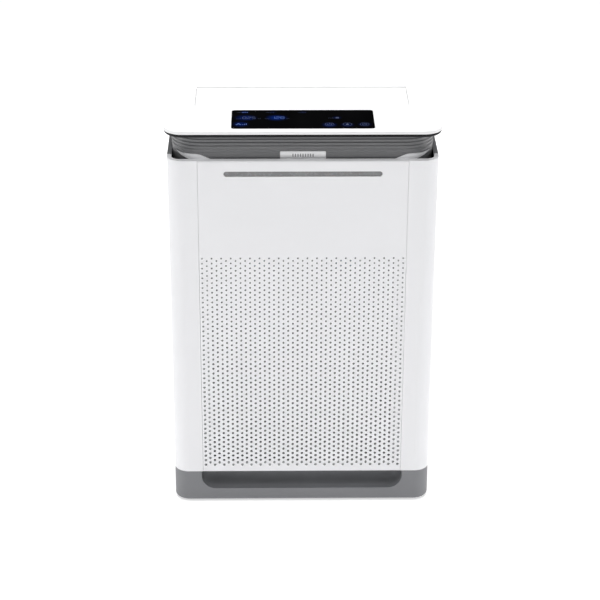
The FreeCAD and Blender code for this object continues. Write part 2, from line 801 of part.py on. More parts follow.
def volute_outline(grow):
    """The scroll: a spiral wall that opens upwards on the right, as a face across Y."""
    tongue, turn = 60, 300
    start_radius = size("fan_radius") + 12 + grow
    spread = 46
    spiral = []
    for step in range(11):
        angle = math.radians(tongue + turn * step / 10)
        radius = start_radius + spread * step / 10
        spiral.append(FreeCAD.Vector(radius * math.cos(angle), 0, radius * math.sin(angle)))
    curve = Part.BSplineCurve()
    curve.interpolate(spiral)
    right = spiral[-1].x
    mouth = 200
    left = 44 - grow
    corners = [spiral[-1], FreeCAD.Vector(right, 0, mouth), FreeCAD.Vector(left, 0, mouth),
               FreeCAD.Vector(left, 0, 125), spiral[0]]
    face = Part.Face(Part.Wire([curve.toShape()] + Part.makePolygon(corners).Edges))
    face.translate(FreeCAD.Vector(0, 0, size("fan_z")))
    return face


def make_volute():
    front = size("volute_front_y")
    back = size("volute_back_y")
    wall = size("volute_wall")
    outer = volute_outline(wall)
    outer.translate(FreeCAD.Vector(0, front, 0))
    inner = volute_outline(0)
    inner.translate(FreeCAD.Vector(0, front + wall, 0))
    scroll = outer.extrude(FreeCAD.Vector(0, back - front, 0))
    scroll = scroll.cut(inner.extrude(FreeCAD.Vector(0, back - front, 0)))
    scroll = scroll.cut(about_fan(size("inlet_radius") + 0.4, front - 1, front + wall + 1))
    keep(feature("volute_housing", scroll), "volute_housing")
    lid = volute_outline(wall)
    lid.translate(FreeCAD.Vector(0, back, 0))
    plate = lid.extrude(FreeCAD.Vector(0, 2.5, 0))
    plate = plate.cut(about_fan(size("motor_radius") + 2, back - 1, back + 4))
    for x, z in MOTOR_SCREWS:
        place = FreeCAD.Vector(x, back - 1, size("fan_z") + z)
        plate = plate.cut(Part.makeCylinder(1.8, 5, place, FreeCAD.Vector(0, 1, 0)))
    keep(feature("volute_back", plate), "volute_back")


def make_impeller():
    radius = size("fan_radius")
    hub_back = 48.0
    front = -9.0
    disc = about_fan(radius, hub_back - 2, hub_back)
    ring = about_fan(radius, front, front + 2).cut(about_fan(radius - 16, front - 1, front + 3))
    hub = about_fan(16, 28, hub_back - 1)
    pieces = [ring, hub]
    bend = 20.0
    root = radius - 17.5
    centre = FreeCAD.Vector(root + 7, 0, bend - 3)
    count = int(size("blade_count"))
    arc = Part.makeCylinder(bend, hub_back - 0.5 - front, centre + FreeCAD.Vector(0, front + 0.5, 0),
                            FreeCAD.Vector(0, 1, 0))
    hollow = Part.makeCylinder(bend - 1.2, 80, centre + FreeCAD.Vector(0, front - 2, 0),
                               FreeCAD.Vector(0, 1, 0))
    reach = Part.makeBox(16.5, 80, 12, FreeCAD.Vector(root, front - 2, -4))
    blade = arc.cut(hollow).common(reach)
    for index in range(count):
        copy = blade.copy()
        copy.rotate(FreeCAD.Vector(), FreeCAD.Vector(0, 1, 0), 360 * index / count)
        copy.translate(FreeCAD.Vector(0, 0, size("fan_z")))
        pieces.append(copy)
    wheel = disc.multiFuse(pieces)
    wheel = wheel.cut(about_fan(size("shaft_radius"), 20, 60))
    keep(feature("fan_impeller", wheel), "fan_impeller")


def make_motor():
    radius = size("motor_radius")
    seat = size("bearing_radius")
    shaft = size("shaft_radius")
    flange = about_fan(radius + 16, 64.5, 67)
    case = about_fan(radius, 52, 88).fuse(flange)
    case = case.cut(about_fan(shaft + 1.5, 50, 90))
    for low, high in ((52, 59), (81, 88)):
        case = case.cut(about_fan(seat, low, high))
    for x, z in MOTOR_SCREWS:
        place = FreeCAD.Vector(x, 60, size("fan_z") + z)
        case = case.cut(Part.makeCylinder(1.8, 10, place, FreeCAD.Vector(0, 1, 0)))
    keep(feature("fan_motor", case.removeSplitter()), "fan_motor")
    rings = [
        about_fan(seat, low, low + 7).cut(about_fan(shaft + size("pin_clearance"), low - 1, low + 9))
        for low in (52, 81)
    ]
    keep(feature("motor_bearings", Part.makeCompound(rings)), "motor_bearings")
    keep(feature("motor_shaft", about_fan(shaft, 16, 90)), "motor_shaft")
    nut = hexagon_bar(7.5, 21, 28).cut(about_fan(shaft, 20, 30))
    keep(feature("impeller_nut", nut), "impeller_nut")
    screws = []
    for x, z in MOTOR_SCREWS:
        screws.append(screw("motor_screw", x, 67, size("fan_z") + z, 8))
    keep(group("motor_screws", screws), "motor_screws")


def hexagon_bar(radius, low, high):
    corners = []
    for index in range(7):
        angle = math.radians(60 * index)
        corners.append(FreeCAD.Vector(radius * math.cos(angle), low, radius * math.sin(angle)))
    nut = Part.Face(Part.makePolygon(corners)).extrude(FreeCAD.Vector(0, high - low, 0))
    nut.translate(FreeCAD.Vector(0, 0, size("fan_z")))
    return nut


# ---- outlet, collar and lid ----------------------------------------------------------------


def flat_rectangle(left, right, front, back, z):
    corners = ((left, front), (right, front), (right, back), (left, back), (left, front))
    return Part.makePolygon([FreeCAD.Vector(x, y, z) for x, y in corners])


def make_outlet_duct():
    wall = size("volute_wall")
    low = size("fan_z") + 200
    high = 588.0
    inner_right = size("fan_radius") + 12 + 46
    front, back = size("volute_front_y"), size("volute_back_y")
    outer = [flat_rectangle(44 - wall, inner_right + wall, front, back + 2.5, low),
             flat_rectangle(-152, 152, 4, 77, high)]
    inner = [flat_rectangle(44, inner_right, front + wall, back, low),
             flat_rectangle(-150, 150, 6, 75, high)]
    tube = Part.makeLoft(outer, True, True).cut(Part.makeLoft(inner, True, True))
    keep(feature("outlet_duct", tube), "outlet_duct")


def make_outlet_guard():
    rows, columns = 8, 4
    slot_high, bar = 6.6, 2.2
    wide = (304 - 2 * 3 - (columns - 1) * 3) / columns
    holes = []
    for column in range(columns):
        left = -152 + 3 + column * (wide + 3)
        for row in range(rows):
            front = 4 + 2.4 + row * (slot_high + bar)
            holes.append(flat_rectangle(left, left + wide, front, front + slot_high, 588))
    wires = [flat_rectangle(-152, 152, 4, 77, 588)] + holes
    guard = Part.makeFace(wires, "Part::FaceMakerBullseye").extrude(FreeCAD.Vector(0, 0, 4))
    keep(feature("outlet_guard", guard), "outlet_guard")


def make_collar():
    body = new_body("outlet_collar")
    slab(body, "collar_outline", "collar_width", "collar_depth", "collar_corner", "collar_bottom",
         "collar_top - collar_bottom")
    for rib in range(int(size("rib_count"))):
        slab(body, f"collar_rib_{rib}", "collar_width + 2 * rib_reach", "collar_depth + 2 * rib_reach",
             "collar_corner + rib_reach", f"first_rib_z + {rib} * rib_pitch", "rib_height")
    well(body, "collar_inside", "collar_width - 2 * collar_wall", "collar_depth - 2 * collar_wall",
         "collar_corner - collar_wall", "collar_top", "collar_top - collar_bottom")
    keep(body, "outlet_collar")


def make_collar_seal():
    """A foam ring that closes the gap between the collar and the shells, below the rim."""
    body = new_body("collar_seal")
    slab(body, "seal_outline", "body_width - 2 * wall - 0.4", "body_depth - 2 * rim_depth - 1",
         "body_corner - wall - 0.2", "seal_bottom", "seal_height")
    well(body, "seal_inside", "collar_width + 0.6", "collar_depth + 0.6", "collar_corner + 0.3",
         "seal_bottom + seal_height", "seal_height")
    keep(body, "collar_seal")


def make_corner_shoulders():
    """A curved shoulder round each front corner of the collar; it dips behind the panel's rim."""
    clear = 0.3
    thick = 2.0
    corner = size("collar_corner")
    centre_x = size("collar_width") / 2 - corner
    centre_y = corner - size("collar_depth") / 2
    low = 554.0
    tall = 24.0
    base = FreeCAD.Vector(centre_x, centre_y, low)
    ring = Part.makeCylinder(corner + clear + thick, tall, base)
    ring = ring.cut(Part.makeCylinder(corner + clear, tall, base))
    quarter = Part.makeBox(60, 60, tall, FreeCAD.Vector(centre_x, centre_y - 60, low))
    run = Part.makeBox(20, thick, tall,
                       FreeCAD.Vector(centre_x - 20, centre_y - corner - clear - thick, low))
    strip = ring.common(quarter).fuse(run)
    crest = Part.BSplineCurve()
    crest.interpolate([FreeCAD.Vector(x, -150, z) for x, z in (
        (126, 560), (139.5, 565.5), (149, 569.2), (165, 569.4), (182, 571))])
    edges = [crest.toShape()]
    edges += Part.makePolygon([FreeCAD.Vector(x, -150, z) for x, z in (
        (182, 571), (175, 565.5), (169, 563.4), (160, 560.5), (150, 558), (126, 556), (126, 560))]).Edges
    window = Part.Face(Part.Wire(edges)).extrude(FreeCAD.Vector(0, 140, 0))
    right = strip.common(window)
    left = right.mirror(FreeCAD.Vector(), FreeCAD.Vector(1, 0, 0))
    keep(feature("corner_shoulders", Part.makeCompound([left, right])), "corner_shoulders")


def make_badge():
    body = new_body("name_badge")
    outline = sketch_on(body, "badge_outline", "XZ_Plane",
                        ("0", "badge_bottom + badge_height / 2", "collar_depth / 2"))
    rounded_rectangle(outline, "badge_length", "badge_height", "2")
    pad(body, outline, "badge_thickness")
    keep(body, "name_badge")


def make_lid_tray():
    body = new_body("lid_tray")
    slab(body, "tray_stub", "collar_width", "collar_depth", "collar_corner", "collar_top",
         "lid_bottom - collar_top")
    slab(body, "tray_plate", "tray_width", "tray_depth", "tray_corner", "lid_bottom - tray_flange",
         "tray_flange")
    level = at_level(size("lid_bottom") - size("tray_flange"))
    reach_x = size("collar_width") / 2 + 0.1
    reach_y = size("collar_depth") / 2 + 0.1
    fillet_edges(body, "tray_edge", lambda edge: level(edge) and not within(edge, reach_x, reach_y))
    fillet_edges(body, "tray_blend", lambda edge: level(edge) and within(edge, reach_x, reach_y))
    well(body, "tray_opening", "collar_width - 6", "collar_depth - 5.6", "36", "lid_bottom",
         "lid_bottom - collar_top")
    keep(body, "lid_tray")


def make_lid_shell():
    body = new_body("lid_shell")
    top = "lid_bottom + lid_thickness"
    slab(body, "lid_outline", "lid_width", "lid_depth", "lid_corner", "lid_bottom", "lid_thickness")
    upper = at_level(size("lid_bottom") + size("lid_thickness"))
    lower = at_level(size("lid_bottom"))
    fillet_edges(body, "lid_edge_radius", lambda edge: upper(edge) or lower(edge))
    under = sketch_on(body, "lid_underside", "XY_Plane", ("0", "0", "lid_bottom"))
    rounded_rectangle(under, "lid_width - 7", "lid_depth - 7", "lid_corner - 3.5")
    pocket(body, under, "lid_thickness - lid_skin", reverse=True)
    well(body, "glass_seat", "glass_width + 0.4", "glass_depth + 0.4", "glass_corner + 0.2",
         top, "glass_thickness", ("0", "glass_centre_y"))
    well(body, "glass_window", "glass_width - 16", "glass_depth - 16", "3", top, "lid_thickness",
         ("0", "glass_centre_y"))
    reach = "(flap_pivot_y + lid_bottom + lid_thickness - flap_pivot_z - flap_front_y)"
    well(body, "flap_opening", "flap_width + 2 * flap_gap", reach + " + 2 * flap_gap", "1",
         top, "lid_thickness", ("0", "flap_front_y + " + reach + " / 2"))
    keep(body, "lid_shell")


def make_display():
    body = new_body("display_glass")
    slab(body, "glass_outline", "glass_width", "glass_depth", "glass_corner",
         "lid_bottom + lid_thickness - glass_thickness", "glass_thickness", ("0", "glass_centre_y"))
    keep(body, "display_glass")
    board = box("control_board", ("-90", "glass_centre_y - 29", "602"), ("180", "58", "1.6"))
    touch = box("touch_pads", ("-85", "glass_centre_y - 25", "603.5"), ("170", "50", "4"))
    chip = box("control_chip", ("-10", "glass_centre_y - 8", "600"), ("18", "18", "2.5"))
    keep(fuse("display_board", [board, touch, chip]), "display_board")


def make_flap():
    """The flap's section across X: a flat skin whose rear edge is round about the hinge axis."""
    top = size("lid_bottom") + size("lid_thickness")
    pivot_y = size("flap_pivot_y")
    pivot_z = size("flap_pivot_z")
    reach = top - pivot_z
    front = size("flap_front_y")
    under = top - size("flap_skin")
    half = size("flap_width") / 2
    rear = Part.Arc(FreeCAD.Vector(-half, pivot_y, top),
                    FreeCAD.Vector(-half, pivot_y + reach * math.sqrt(0.5),
                                   pivot_z + reach * math.sqrt(0.5)),
                    FreeCAD.Vector(-half, pivot_y + reach, pivot_z))
    outline = [rear.toShape()]
    outline += Part.makePolygon([FreeCAD.Vector(-half, y, z) for y, z in (
        (pivot_y + reach, pivot_z), (pivot_y + 2.4, pivot_z), (pivot_y - 4, under),
        (front, under), (front, top), (pivot_y, top))]).Edges
    skin = Part.Face(Part.Wire(outline)).extrude(FreeCAD.Vector(2 * half, 0, 0))
    along = FreeCAD.Vector(1, 0, 0)
    barrel = Part.makeCylinder(3.6, 2 * half, FreeCAD.Vector(-half, pivot_y, pivot_z), along)
    front_rib = Part.makeBox(2 * half - 16, 2, 3, FreeCAD.Vector(8 - half, front + 3, under - 2.9))
    flap = skin.multiFuse([barrel, front_rib])
    for start in (-half, half - 12):
        place = FreeCAD.Vector(start, pivot_y, pivot_z)
        flap = flap.cut(Part.makeCylinder(size("pin_radius"), 12, place, along))
    keep(feature("outlet_flap", flap.removeSplitter()), "outlet_flap")


def make_flap_hinge():
    pins = []
    blocks = []
    for start, block_start in (("-163", "-163"), ("145", "157.6")):
        pins.append(cylinder("hinge_pin", "pin_radius", "18", (start, "flap_pivot_y", "flap_pivot_z"), "x"))
        block = box("hinge_block", (block_start, "flap_pivot_y - 4", "597.5"), ("5.4", "7.1", "8.9"))
        bore = cylinder("hinge_bore", "pin_radius + pin_clearance", "12",
                        (block_start + " - 3", "flap_pivot_y", "flap_pivot_z"), "x")
        blocks.append(cut("hinge_block_bored", block, [bore]))
    keep(group("flap_hinge_pins", pins), "flap_hinge_pins")
    keep(group("flap_hinge_blocks", blocks), "flap_hinge_blocks")
    catch = box("flap_catch", ("-9", "-9", "596"), ("18", "9", "8"))
    keep(catch, "flap_catch")


# ---- build and write -----------------------------------------------------------------------


def check_document():
    doc.recompute()
    for item in doc.Objects:
        if "Invalid" in item.State or "Error" in item.State:
            raise ValueError(f"{item.Name} failed: {item.State}")
    for item in sub_parts:
        if item.Shape.isNull() or not item.Shape.isValid() or not item.Shape.Solids:
            raise ValueError(f"{item.Label} has no valid shape")


def write_parts():
    os.makedirs("parts", exist_ok=True)
    for item in sub_parts:
        item.Shape.exportStep(f"parts/{item.Label}.step")
        print(f"{item.Label}: {len(item.Shape.Solids)} solids, {item.Shape.Volume:.0f} mm3")


make_base_tray()
make_feet()
make_power_inlet()
make_power_board()
make_side_shells()
make_rim_strips()
make_rear_cover()
make_rear_screws()
make_shell_screws()
make_sensor()
make_front_panel()
make_magnets()
make_upper_bulkhead()
make_light_bar()
make_filter_chassis()
make_prefilter()
make_hepa()
make_carbon()
make_inlet_ring()
make_volute()
make_impeller()
make_motor()
make_outlet_duct()
make_outlet_guard()
make_collar()
make_collar_seal()
make_corner_shoulders()
make_badge()
make_lid_tray()
make_lid_shell()
make_display()
make_flap()
make_flap_hinge()
check_document()
write_parts()
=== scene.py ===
import json
import math
import random

import bpy
from mathutils import Matrix, Vector


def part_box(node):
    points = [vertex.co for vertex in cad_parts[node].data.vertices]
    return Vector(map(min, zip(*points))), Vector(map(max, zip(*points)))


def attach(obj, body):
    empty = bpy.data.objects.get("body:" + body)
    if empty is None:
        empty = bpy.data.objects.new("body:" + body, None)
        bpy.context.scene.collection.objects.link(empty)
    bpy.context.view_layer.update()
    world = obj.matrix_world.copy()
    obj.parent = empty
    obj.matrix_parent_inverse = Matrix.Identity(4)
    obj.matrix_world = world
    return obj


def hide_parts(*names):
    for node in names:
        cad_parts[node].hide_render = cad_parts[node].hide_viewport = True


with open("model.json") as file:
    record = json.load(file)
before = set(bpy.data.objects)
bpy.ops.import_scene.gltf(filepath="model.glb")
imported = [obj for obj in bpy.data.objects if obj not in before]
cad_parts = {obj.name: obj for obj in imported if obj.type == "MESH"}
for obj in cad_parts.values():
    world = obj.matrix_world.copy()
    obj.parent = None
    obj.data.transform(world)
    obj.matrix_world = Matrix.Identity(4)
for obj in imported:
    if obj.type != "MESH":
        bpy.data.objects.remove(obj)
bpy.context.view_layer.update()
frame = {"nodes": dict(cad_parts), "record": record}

MM = 0.001


# ---------------------------------------------------------------- studio

def make_camera():
    """The viewpoint: in front of the object, above it and a little to its left, with a long lens."""
    place = Vector((-0.0462, -2.6876, 1.5557))
    yaw, pitch, roll = 0.01643, 0.43828, 0.00378
    forward = Vector((math.sin(yaw) * math.cos(pitch), math.cos(yaw) * math.cos(pitch), -math.sin(pitch)))
    level_right = Vector((math.cos(yaw), -math.sin(yaw), 0))
    level_up = level_right.cross(forward)
    right = level_right * math.cos(roll) + level_up * math.sin(roll)
    up = level_up * math.cos(roll) - level_right * math.sin(roll)
    data = bpy.data.cameras.new("camera")
    data.lens = 116.16
    data.sensor_width = 36
    data.clip_end = 60
    camera = bpy.data.objects.new("camera", data)
    bpy.context.scene.collection.objects.link(camera)
    axes = Matrix((right, up, -forward)).transposed()
    camera.matrix_world = Matrix.Translation(place) @ axes.to_4x4()
    bpy.context.scene.camera = camera
    bpy.context.scene.view_settings.view_transform = "Standard"


def make_world():
    """A white room, dimmer than the backdrop, with a dark patch that the glass reflects."""
    room, dark = 0.24, 0.01
    patch_height, patch_inner, patch_outer = (math.radians(angle) for angle in (27, 22, 38))
    world = bpy.data.worlds.new("white_room")
    bpy.context.scene.world = world
    world.use_nodes = True
    nodes = world.node_tree.nodes
    links = world.node_tree.links
    background = nodes["Background"]
    coordinate = nodes.new("ShaderNodeTexCoord")
    dot = nodes.new("ShaderNodeVectorMath")
    dot.operation = "DOT_PRODUCT"
    dot.inputs[1].default_value = (0, math.cos(patch_height), math.sin(patch_height))
    links.new(coordinate.outputs["Generated"], dot.inputs[0])
    patch = nodes.new("ShaderNodeMapRange")
    patch.interpolation_type = "SMOOTHSTEP"
    patch.inputs["From Min"].default_value = math.cos(patch_outer)
    patch.inputs["From Max"].default_value = math.cos(patch_inner)
    patch.inputs["To Min"].default_value = room
    patch.inputs["To Max"].default_value = dark
    links.new(dot.outputs["Value"], patch.inputs["Value"])
    backdrop = nodes.new("ShaderNodeMath")
    backdrop.operation = "MAXIMUM"
    links.new(nodes.new("ShaderNodeLightPath").outputs["Is Camera Ray"], backdrop.inputs[0])
    links.new(patch.outputs["Result"], backdrop.inputs[1])
    links.new(backdrop.outputs["Value"], background.inputs["Strength"])
    background.inputs["Color"].default_value = (1.0, 1.0, 1.0, 1)


def softbox(name, place, target, width, height, power):
    light = bpy.data.lights.new(name, "AREA")
    light.shape = "RECTANGLE"
    light.size = width
    light.size_y = height
    light.energy = power
    box = bpy.data.objects.new(name, light)
    bpy.context.scene.collection.objects.link(box)
    box.location = place
    box.rotation_euler = (Vector(target) - Vector(place)).to_track_quat("-Z", "Y").to_euler()
    box.visible_camera = False


def make_lights():
    middle = (0, 0, 0.35)
    softbox("top_softbox", (0, 0.7, 2.6), middle, 2.4, 2.4, 62)
    softbox("front_softbox", (-0.2, -1.55, 3.1), middle, 1.3, 1.0, 35)
    softbox("left_softbox", (-2.4, 0.1, 0.9), middle, 1.0, 1.8, 10)
    softbox("right_softbox", (2.4, 0.1, 0.9), middle, 1.0, 1.8, 11)


# ---------------------------------------------------------------- meshes

def mesh_object(name, points, faces, smooth=True):
    data = bpy.data.meshes.new(name)
    data.from_pydata([tuple(p) for p in points], [], faces)
    data.validate()
    data.update()
    data.polygons.foreach_set("use_smooth", [smooth] * len(data.polygons))
    item = bpy.data.objects.new(name, data)
    bpy.context.scene.collection.objects.link(item)
    return item


def rounded_path(half_x, half_y, corner, arc_steps=14, run_steps=12):
    """Points round a rounded rectangle, anticlockwise from above, each with its outward direction."""
    path = []
    centres = ((1, 1), (-1, 1), (-1, -1), (1, -1))
    for turn, (sx, sy) in enumerate(centres):
        centre = Vector((sx * (half_x - corner), sy * (half_y - corner), 0))
        for step in range(arc_steps + 1):
            angle = math.pi / 2 * (turn + step / arc_steps)
            out = Vector((math.cos(angle), math.sin(angle), 0))
            path.append((centre + out * corner, out))
        out = path[-1][1]
        start = path[-1][0]
        nx, ny = centres[(turn + 1) % 4]
        end = Vector((nx * (half_x - corner), ny * (half_y - corner), 0)) + out * corner
        for step in range(1, run_steps):
            path.append((start.lerp(end, step / run_steps), out))
    return path


def swept_ring(name, path, profile):
    """A closed ring: each profile point is a distance outward from the path and a height."""
    points = [place + out * reach + Vector((0, 0, z)) for place, out in path for reach, z in profile]
    count = len(profile)
    total = len(path)
    faces = []
    for i in range(total):
        j = (i + 1) % total
        for k in range(count):
            m = (k + 1) % count
            faces.append((i * count + k, j * count + k, j * count + m, i * count + m))
    return mesh_object(name, points, faces)


def make_floor():
    """A pale floor, wide enough to fill every view."""
    half = 9.0
    cells = 24
    step = 2 * half / cells
    points = [(i * step - half, j * step - half, 0) for j in range(cells + 1) for i in range(cells + 1)]
    row = cells + 1
    faces = [(j * row + i, j * row + i + 1, (j + 1) * row + i + 1, (j + 1) * row + i)
             for j in range(cells) for i in range(cells)]
    floor = mesh_object("floor", points, faces)
    floor.data.materials.append(floor_material())


# ---------------------------------------------------------------- materials

# The haze round each lit group on the glass: across, down, reach in mm, brightness.
GLOWS = ((0.09, 0.12, 9, 0.18), (0.085, 0.42, 17, 0.24), (0.125, 0.42, 15, 0.22), (0.30, 0.42, 16, 0.34),
         (0.335, 0.42, 16, 0.3), (0.29, 0.12, 8, 0.06), (0.505, 0.12, 8, 0.06), (0.065, 0.76, 15, 0.32),
         (0.74, 0.42, 9, 0.14), (0.685, 0.8, 14, 0.3), (0.81, 0.8, 13, 0.18), (0.93, 0.78, 13, 0.14))


def display_place(across, down):
    """A place on the glass from fractions across from its left edge and down from its rear edge."""
    low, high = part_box("display_glass")
    return low[0] + across * (high[0] - low[0]), high[1] - down * (high[1] - low[1])


class Shader:
    """One node material with a Principled shader, and the few procedural pieces the finishes share."""

    def __init__(self, name):
        self.material = bpy.data.materials.new(name)
        self.material.use_nodes = True
        self.nodes = self.material.node_tree.nodes
        self.links = self.material.node_tree.links
        self.surface = self.nodes["Principled BSDF"]
        self.place = self.nodes.new("ShaderNodeTexCoord").outputs["Object"]

    def set(self, **values):
        for key, value in values.items():
            self.surface.inputs[key.replace("_", " ")].default_value = value

    def join(self, output, socket):
        self.links.new(output, self.surface.inputs[socket])

    def stretched(self, scale):
        """Coordinates stretched along the axes."""
        mapping = self.nodes.new("ShaderNodeMapping")
        mapping.inputs["Scale"].default_value = scale
        self.links.new(self.place, mapping.inputs["Vector"])
        return mapping.outputs["Vector"]

    def noise(self, size, detail=2.0, rough=0.5, place=None):
        """Noise whose features are about this size, in metres."""
        node = self.nodes.new("ShaderNodeTexNoise")
        node.inputs["Scale"].default_value = 1 / size
        node.inputs["Detail"].default_value = detail
        node.inputs["Roughness"].default_value = rough
        self.links.new(place or self.place, node.inputs["Vector"])
        return node.outputs["Fac"]

    def cells(self, size, place=None):
        node = self.nodes.new("ShaderNodeTexVoronoi")
        node.inputs["Scale"].default_value = 1 / size
        self.links.new(place or self.place, node.inputs["Vector"])
        return node.outputs["Distance"]

    def waves(self, size, direction, distortion=0.0):
        node = self.nodes.new("ShaderNodeTexWave")
        node.bands_direction = direction
        node.inputs["Scale"].default_value = math.pi / (10 * size)
        node.inputs["Distortion"].default_value = distortion
        self.links.new(self.place, node.inputs["Vector"])
        return node.outputs["Fac"]

    def spread(self, value, low, high, start=0.3, end=0.7):
        """A value mapped from start-end to low-high."""
        node = self.nodes.new("ShaderNodeMapRange")
        node.inputs["From Min"].default_value = start
        node.inputs["From Max"].default_value = end
        node.inputs["To Min"].default_value = low
        node.inputs["To Max"].default_value = high
        self.links.new(value, node.inputs["Value"])
        return node.outputs["Result"]

    def blend(self, value, first, second):
        """A colour mixed between two by a value."""
        node = self.nodes.new("ShaderNodeMix")
        node.data_type = "RGBA"
        self.links.new(value, node.inputs["Factor"])
        for socket, colour in (("A", first), ("B", second)):
            target = [s for s in node.inputs if s.name == socket and s.type == "RGBA"][0]
            if hasattr(colour, "links"):
                self.links.new(colour, target)
            else:
                target.default_value = (*colour, 1)
        return [s for s in node.outputs if s.type == "RGBA"][0]

    def add(self, first, second):
        node = self.nodes.new("ShaderNodeMath")
        node.operation = "ADD"
        node.use_clamp = True
        self.links.new(first, node.inputs[0])
        self.links.new(second, node.inputs[1])
        return node.outputs["Value"]

    def spot(self, centre, reach, level):
        """A soft round patch seen from above, brightest at its centre."""
        flat = self.nodes.new("ShaderNodeVectorMath")
        flat.operation = "MULTIPLY"
        flat.inputs[1].default_value = (1, 1, 0)
        self.links.new(self.place, flat.inputs[0])
        away = self.nodes.new("ShaderNodeVectorMath")
        away.operation = "DISTANCE"
        away.inputs[1].default_value = (*centre, 0)
        self.links.new(flat.outputs["Vector"], away.inputs[0])
        fade = self.nodes.new("ShaderNodeMapRange")
        fade.interpolation_type = "SMOOTHERSTEP"
        fade.inputs["From Min"].default_value = reach
        fade.inputs["From Max"].default_value = 0
        fade.inputs["To Max"].default_value = level
        self.links.new(away.outputs["Value"], fade.inputs["Value"])
        return fade.outputs["Result"]

    def bump(self, height, depth, under=None):
        """A bump of this depth in metres, laid over another bump."""
        node = self.nodes.new("ShaderNodeBump")
        node.inputs["Strength"].default_value = 1.0
        node.inputs["Distance"].default_value = depth
        self.links.new(height, node.inputs["Height"])
        if under is not None:
            self.links.new(under, node.inputs["Normal"])
        self.links.new(node.outputs["Normal"], self.surface.inputs["Normal"])
        return node.outputs["Normal"]


def scaled(colour, factor):
    return tuple(c * factor for c in colour)


def moulded(name, colour, rough=0.4, polish=0.05, grain=0.0012, depth=0.00001, drift=0.03, **extra):
    """Moulded plastic: a fine spark-eroded grain, slow tone drift and uneven polish."""
    s = Shader(name)
    tone = s.spread(s.noise(0.16, 3), 0, 1)
    s.join(s.blend(tone, scaled(colour, 1 - drift), scaled(colour, 1 + drift)), "Base Color")
    s.join(s.spread(s.noise(0.05, 4), rough - polish, rough + polish), "Roughness")
    ripple = s.bump(s.noise(0.04, 1), depth * 3)
    s.bump(s.noise(grain, 2), depth, ripple)
    s.set(**extra)
    return s.material


def floor_material():
    s = Shader("floor_paint")
    tone = s.spread(s.noise(1.5, 3), 0, 1)
    s.join(s.blend(tone, (0.93, 0.93, 0.93), (0.96, 0.96, 0.96)), "Base Color")
    s.set(Roughness=0.7, Specular_IOR_Level=0.2, Emission_Color=(1, 1, 1, 1), Emission_Strength=0.5)
    return s.material


def glass_material():
    """Black lacquered glass: a deep gloss, faint smears, and the blue haze of the lights under it."""
    s = Shader("black_glass")
    smear = s.noise(0.05, 4, 0.6, s.stretched((1, 0.35, 1)))
    s.join(s.blend(s.spread(smear, 0, 1), (0.0008, 0.0008, 0.001), (0.0018, 0.0018, 0.0022)), "Base Color")
    s.join(s.spread(smear, 0.02, 0.09), "Roughness")
    haze = None
    for across, down, reach, level in GLOWS:
        spot = s.spot(display_place(across, down), reach * MM, level)
        haze = spot if haze is None else s.add(haze, spot)
    s.join(s.blend(haze, (0, 0, 0), (0.0016, 0.028, 0.25)), "Emission Color")
    s.set(IOR=1.3, Emission_Strength=1.0)
    return s.material


def diffuser_material():
    """A smoked, milky light guide."""
    s = Shader("smoked_diffuser")
    s.join(s.blend(s.spread(s.noise(0.03, 3), 0, 1), (0.20, 0.20, 0.205), (0.235, 0.235, 0.24)), "Base Color")
    s.join(s.spread(s.noise(0.004, 2), 0.22, 0.3), "Roughness")
    s.bump(s.noise(0.0009, 1), 0.000008)
    s.set(Subsurface_Weight=0.15, Subsurface_Scale=0.002)
    return s.material


def badge_material():
    """A brushed metal plate."""
    s = Shader("brushed_plate")
    brushed = s.noise(0.0012, 3, 0.6, s.stretched((0.02, 1, 1)))
    s.join(s.blend(s.spread(brushed, 0, 1), (0.62, 0.62, 0.63), (0.76, 0.76, 0.77)), "Base Color")
    s.join(s.spread(brushed, 0.3, 0.42), "Roughness")
    s.bump(brushed, 0.000012)
    s.set(Metallic=0.7)
    return s.material


def metal_material(name, colour, rough):
    s = Shader(name)
    turned = s.noise(0.0016, 3, 0.6, s.stretched((1, 0.15, 1)))
    s.join(s.blend(s.spread(turned, 0, 1), scaled(colour, 0.85), colour), "Base Color")
    s.join(s.spread(turned, rough - 0.06, rough + 0.08), "Roughness")
    s.bump(turned, 0.00001)
    s.set(Metallic=1.0)
    return s.material


def paper_material():
    """Pleated glass-fibre paper: a fibrous, slightly fluffy matt white."""
    s = Shader("fibre_paper")
    fibre = s.noise(0.0011, 5, 0.7, s.stretched((1, 1, 0.3)))
    s.join(s.blend(s.spread(fibre, 0, 1), (0.74, 0.74, 0.70), (0.88, 0.88, 0.85)), "Base Color")
    s.bump(fibre, 0.00012)
    s.set(Roughness=0.95, Specular_IOR_Level=0.15, Sheen_Weight=0.15)
    return s.material


def board_material():
    """Green solder mask with lighter tracks under it."""
    s = Shader("solder_mask")
    track = s.spread(s.waves(0.003, "X", 6.0), 0, 1, 0.55, 0.6)
    s.join(s.blend(track, (0.01, 0.07, 0.03), (0.02, 0.13, 0.055)), "Base Color")
    s.join(s.spread(s.noise(0.01, 2), 0.25, 0.4), "Roughness")
    s.bump(track, 0.00003)
    return s.material


def carbon_material():
    """Activated carbon: porous, dull black grains."""
    s = Shader("carbon_grain")
    pore = s.cells(0.0006)
    s.join(s.blend(s.spread(pore, 0, 1, 0.1, 0.6), (0.006, 0.006, 0.006), (0.035, 0.035, 0.036)), "Base Color")
    s.bump(pore, 0.0002)
    s.set(Roughness=0.85)
    return s.material


def net_material():
    s = Shader("nylon_net")
    twist = s.noise(0.0008, 3)
    s.join(s.blend(s.spread(twist, 0, 1), (0.012, 0.012, 0.013), (0.024, 0.024, 0.026)), "Base Color")
    s.bump(twist, 0.00004)
    s.set(Roughness=0.55)
    return s.material


